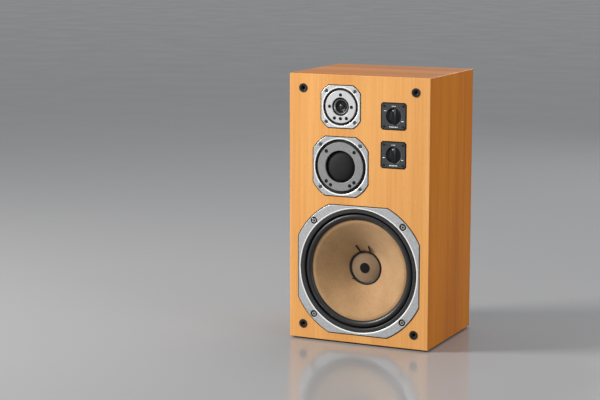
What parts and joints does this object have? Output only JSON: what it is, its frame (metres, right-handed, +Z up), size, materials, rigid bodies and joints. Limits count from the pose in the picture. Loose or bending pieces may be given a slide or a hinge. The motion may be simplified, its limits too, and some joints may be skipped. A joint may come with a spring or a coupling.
{
  "type": "floorstanding speaker",
  "caption": "Wood-veneered closed-box loudspeaker with a cone woofer, soft-dome midrange and tweeter, turnable level controls and rear binding posts, shown without its grille.",
  "frame": {"origin": "on the floor under the middle of the box", "axes": "+Z up, the baffle faces -Y, +X to the right as seen from the front"},
  "size_m": [0.35, 0.284, 0.63],
  "materials": {
    "front_veneer": "oiled veneer, fine upright grain",
    "side_veneer": "oiled veneer, fine upright grain",
    "top_veneer": "oiled veneer, grain across",
    "rear_board": "board painted matt black",
    "raw_board": "bare particle board",
    "felt": "matted wadding",
    "pad_rubber": "matt",
    "socket_plastic": "satin",
    "bush_rubber": "matt",
    "silver_casting": "silver paint over a die casting",
    "gasket_black": "matt, hatched",
    "surround_rubber": "satin",
    "spider_cloth": "resin-dipped cloth",
    "bolt_steel": "bright plated",
    "lead_braid": "braid dipped black",
    "flex_braid": "copper braid",
    "cone_paper": "pressed paper pulp",
    "cap_paper": "pressed paper pulp",
    "vent_mesh": "matt",
    "glue_black": "glossy bead",
    "coil_copper": "enamelled wire",
    "plate_grey": "textured paint",
    "plate_silver": "fine satin silver",
    "bezel_metal": "turned",
    "dome_cloth": "doped cloth",
    "chamber_plastic": "matt",
    "groove_black": "matt",
    "plated_steel": "zinc plated",
    "ferrite": "matt",
    "tag_board": "laminated paper board",
    "screw_grey": "satin",
    "screw_black": "blackened",
    "control_slate": "satin",
    "knob_black": "satin",
    "pot_steel": "pressed steel",
    "cup_plastic": "satin",
    "post_brass": "gold plated",
    "nut_red": "gloss",
    "nut_black": "gloss",
    "board_brown": "laminated paper board",
    "capacitor_blue": "gloss sleeve",
    "wire_pvc": "satin"
  },
  "bodies": {
    "cabinet": {"front_baffle": "front_veneer", "left_side_panel": "side_veneer", "right_side_panel": "side_veneer", "top_panel": "top_veneer", "bottom_panel": "top_veneer", "rear_panel": "rear_board", "corner_battens": "raw_board", "shelf_brace": "raw_board", "damping_felt": "felt", "floor_pads": "pad_rubber", "grille_socket_cups": "socket_plastic", "grille_socket_bushes": "bush_rubber", "woofer_basket": "silver_casting", "woofer_gasket_ring": "gasket_black", "woofer_surround": "surround_rubber", "woofer_spider": "spider_cloth", "woofer_bolts": "bolt_steel", "woofer_flex_leads": "flex_braid", "mid_frame": "silver_casting", "mid_faceplate": "plate_grey", "mid_surround": "dome_cloth", "mid_rear_chamber": "chamber_plastic", "tweeter_frame": "silver_casting", "tweeter_faceplate": "plate_silver", "tweeter_bezel": "bezel_metal", "tweeter_surround": "dome_cloth", "groove_rings": "groove_black", "driver_top_plates": "plated_steel", "driver_magnets": "ferrite", "driver_yokes": "plated_steel", "terminal_strips": "tag_board", "driver_screws": "screw_grey", "faceplate_screws": "screw_black", "level_plates": "control_slate", "level_potentiometers": "pot_steel", "plate_screws": "screw_black", "terminal_cup": "cup_plastic", "terminal_studs": "post_brass", "crossover_board": "board_brown", "crossover_inductors": "coil_copper", "crossover_capacitors": "capacitor_blue", "internal_wiring": "wire_pvc"},
    "woofer_cone_assembly": {"woofer_cone": "cone_paper", "woofer_dust_cap": "cap_paper", "woofer_cap_vent": "vent_mesh", "woofer_cap_ring": "glue_black", "woofer_voice_coil": "coil_copper", "woofer_lead_stubs": "lead_braid"},
    "mid_dome_assembly": {"mid_dome": "dome_cloth", "mid_voice_coil": "coil_copper"},
    "tweeter_dome_assembly": {"tweeter_dome": "dome_cloth", "tweeter_voice_coil": "coil_copper"},
    "upper_control": {"upper_knob": "knob_black", "upper_shaft": "plated_steel"},
    "lower_control": {"lower_knob": "knob_black", "lower_shaft": "plated_steel"},
    "red_clamp_washer": {"red_washer": "plated_steel"},
    "black_clamp_washer": {"black_washer": "plated_steel"},
    "red_nut": {"red_cap_nut": "nut_red"},
    "black_nut": {"black_cap_nut": "nut_black"}
  },
  "joints": [
    {"name": "woofer_cone_travel", "type": "slide", "parent": "cabinet", "child": "woofer_cone_assembly", "axis": [0, -1, 0], "range_m": [-0.006, 0.006], "stiffness_N_per_m": 1500, "deforming": ["woofer_surround", "woofer_spider", "woofer_flex_leads"]},
    {"name": "mid_dome_travel", "type": "slide", "parent": "cabinet", "child": "mid_dome_assembly", "axis": [0, -1, 0], "range_m": [-0.0005, 0.0005], "stiffness_N_per_m": 2000, "deforming": ["mid_surround"]},
    {"name": "tweeter_dome_travel", "type": "slide", "parent": "cabinet", "child": "tweeter_dome_assembly", "axis": [0, -1, 0], "range_m": [-0.0003, 0.0003], "stiffness_N_per_m": 1000, "deforming": ["tweeter_surround"]},
    {"name": "upper_level_turn", "type": "hinge", "parent": "cabinet", "child": "upper_control", "pos_m": [0.0865, -0.138, 0.54], "axis": [0, -1, 0], "range_deg": [-135, 135]},
    {"name": "lower_level_turn", "type": "hinge", "parent": "cabinet", "child": "lower_control", "pos_m": [0.0865, -0.138, 0.4515], "axis": [0, -1, 0], "range_deg": [-135, 135]},
    {"name": "red_washer_travel", "type": "slide", "parent": "cabinet", "child": "red_clamp_washer", "axis": [0, 1, 0], "range_m": [0, 0.004]},
    {"name": "red_nut_turn", "type": "hinge", "parent": "red_clamp_washer", "child": "red_nut", "pos_m": [-0.019, 0.139, 0.112], "axis": [0, 1, 0], "range_deg": [0, 1441]},
    {"name": "black_washer_travel", "type": "slide", "parent": "cabinet", "child": "black_clamp_washer", "axis": [0, 1, 0], "range_m": [0, 0.004]},
    {"name": "black_nut_turn", "type": "hinge", "parent": "black_clamp_washer", "child": "black_nut", "pos_m": [0.019, 0.139, 0.112], "axis": [0, 1, 0], "range_deg": [0, 1441]}
  ],
  "couplings": [
    {"joint": "red_nut_turn", "follows": "red_washer_travel", "rad_per_m": 6283.2},
    {"joint": "black_nut_turn", "follows": "black_washer_travel", "rad_per_m": 6283.2}
  ]
}
